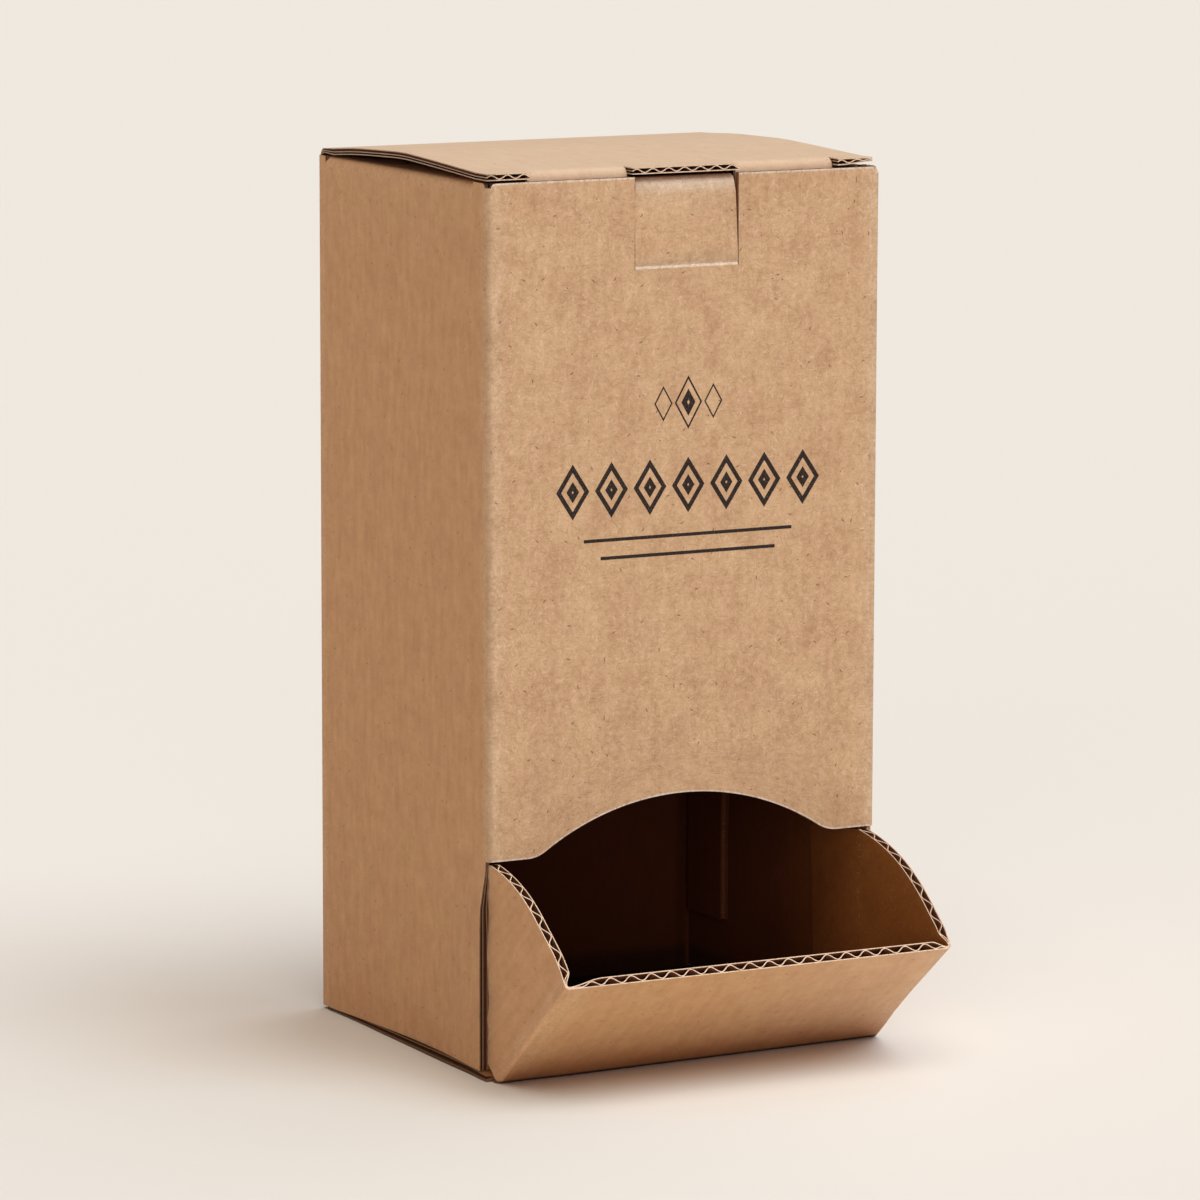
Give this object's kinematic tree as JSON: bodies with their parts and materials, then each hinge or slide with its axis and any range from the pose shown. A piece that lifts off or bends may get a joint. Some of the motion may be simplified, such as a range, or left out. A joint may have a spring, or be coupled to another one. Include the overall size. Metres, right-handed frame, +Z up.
{
  "type": "gravity feed dispenser box",
  "caption": "Tall folded corrugated box with a hinged tuck-in lid, a press tab in its front, and an arched mouth that opens into a scoop-shaped tray at the foot.",
  "frame": {"origin": "on the table, in the middle of the box's rectangular footprint, with the tray reaching past it to the front", "axes": "+X to the right, +Y to the back (the tray and the printed face look along -Y), +Z up"},
  "size_m": [0.145, 0.1755, 0.2916],
  "materials": {
    "kraft_board": "uncoated brown kraft liner over fluted board, matt, with fine fibres and flecks"
  },
  "bodies": {
    "box": {"box_body": "kraft_board"},
    "lid": {"lid": "kraft_board"},
    "press_tab": {"press_tab": "kraft_board"}
  },
  "joints": [
    {"name": "lid_hinge", "type": "hinge", "parent": "box", "child": "lid", "pos_m": [0, 0.0617, 0.286], "axis": [-1, 0, 0], "range_deg": [0, 180]},
    {"name": "press_tab_crease", "type": "hinge", "parent": "box", "child": "press_tab", "pos_m": [0.0009, -0.0585, 0.2576], "axis": [-1, 0, 0], "range_deg": [0, 40], "stiffness_Nm_per_rad": 0.004}
  ]
}
